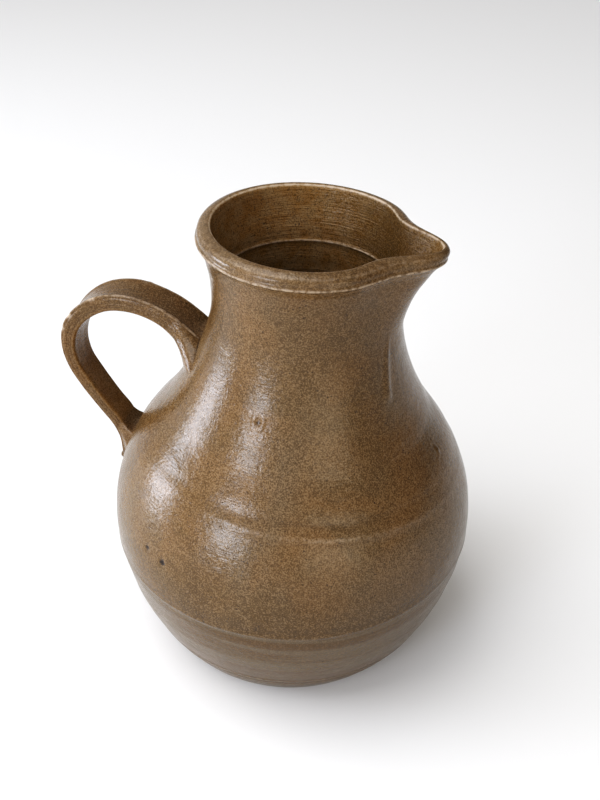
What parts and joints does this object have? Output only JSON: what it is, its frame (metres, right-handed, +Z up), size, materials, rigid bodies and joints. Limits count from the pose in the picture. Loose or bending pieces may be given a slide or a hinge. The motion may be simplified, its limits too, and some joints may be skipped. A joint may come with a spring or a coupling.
{
  "type": "ceramic pitcher",
  "caption": "Round-bellied wheel-thrown stoneware pitcher with a narrow neck, rolled rim, pulled spout and a strap handle for pouring.",
  "frame": {"origin": "centre of the flat base that the pitcher stands on", "axes": "+Z up along the pot's axis to the rim, +X towards the spout, the handle on the -X side, +Y to the left when looking from handle to spout"},
  "size_m": [0.2192, 0.1898, 0.24],
  "materials": {
    "body_glaze": "semi-gloss speckled brown glaze on thrown stoneware",
    "handle_glaze": "semi-gloss speckled brown glaze, worn pale along the edges",
    "upper_coil_glaze": "semi-gloss speckled brown glaze over smoothed clay",
    "lower_coil_glaze": "semi-gloss speckled brown glaze over smoothed clay"
  },
  "bodies": {
    "root": {"body": "body_glaze", "handle": "handle_glaze", "upper_joint_coil": "upper_coil_glaze", "lower_joint_coil": "lower_coil_glaze"}
  },
  "joints": []
}
